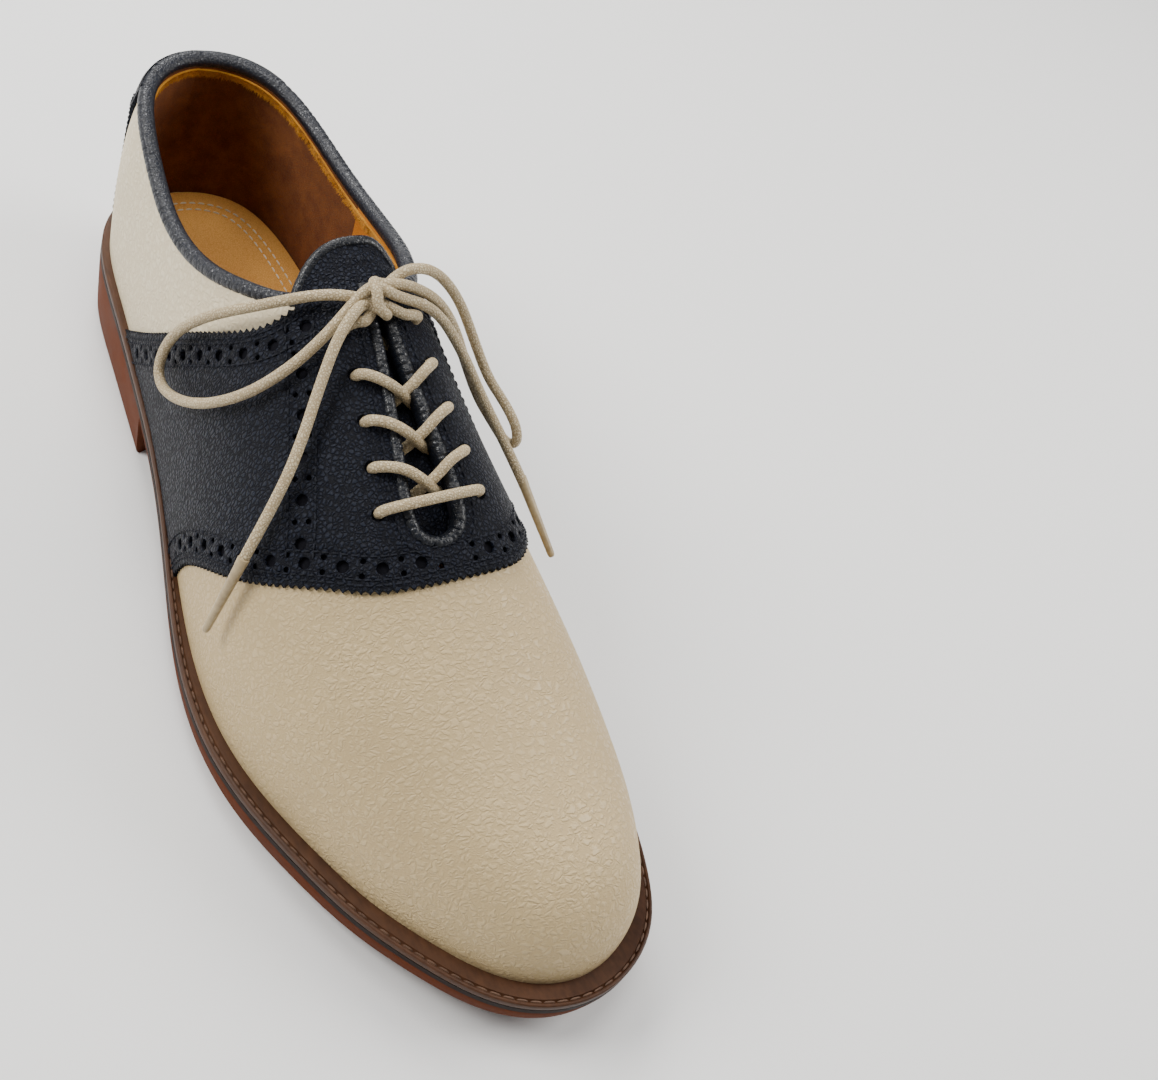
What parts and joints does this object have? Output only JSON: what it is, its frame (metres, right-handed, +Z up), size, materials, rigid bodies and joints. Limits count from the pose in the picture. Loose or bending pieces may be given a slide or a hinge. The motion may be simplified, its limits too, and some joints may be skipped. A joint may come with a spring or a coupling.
{
  "type": "saddle shoe",
  "caption": "Low laced leather saddle shoe for the right foot: welted rubber sole and heel, punched lace holes, rolled collar edge, hinged tongue and a tied round lace.",
  "frame": {"origin": "centre of the sole's plan at the ground, below the shoe's bounding box without the lace", "axes": "+X from heel to toe, +Y to the inner side of the right foot, +Z up from the ground"},
  "size_m": [0.3047, 0.109, 0.1122],
  "materials": {
    "rubber_sole": "matte",
    "dark_midsole": "matte",
    "welt_leather": "satin",
    "thread": "matte",
    "steel": "brushed",
    "cork": "matte",
    "cream_leather": "satin",
    "navy_leather": "satin",
    "canvas": "matte",
    "tan_leather": "smooth",
    "suede": "napped",
    "board": "matte",
    "lace_cotton": "waxed"
  },
  "bodies": {
    "shoe": {"outsole": "rubber_sole", "midsole": "dark_midsole", "welt": "welt_leather", "welt_thread": "thread", "shank": "steel", "cork_filler": "cork", "insole_board": "board", "sock_liner": "tan_leather", "vamp": "cream_leather", "saddle_backer": "canvas", "quarter_lateral": "cream_leather", "quarter_medial": "cream_leather", "saddle": "navy_leather", "heel_patch": "navy_leather", "collar_binding": "navy_leather", "throat_binding": "navy_leather", "toe_puff": "board", "heel_counter": "board", "interlining": "canvas", "vamp_lining": "tan_leather", "quarter_lining": "tan_leather", "heel_lining": "suede", "lace_crossings": "lace_cotton", "lace_knot": "lace_cotton", "lace_loop_lateral": "lace_cotton", "lace_loop_medial": "lace_cotton", "lace_end_lateral": "lace_cotton", "lace_end_medial": "lace_cotton", "aglet_lateral": "lace_cotton", "aglet_medial": "lace_cotton"},
    "tongue": {"tongue": "navy_leather", "tongue_lining": "tan_leather"}
  },
  "joints": [
    {"name": "tongue_hinge", "type": "hinge", "parent": "shoe", "child": "tongue", "pos_m": [0.042, 0.003, 0.0735], "axis": [0, -1, 0], "range_deg": [0, 12], "stiffness_Nm_per_rad": 0.02}
  ]
}
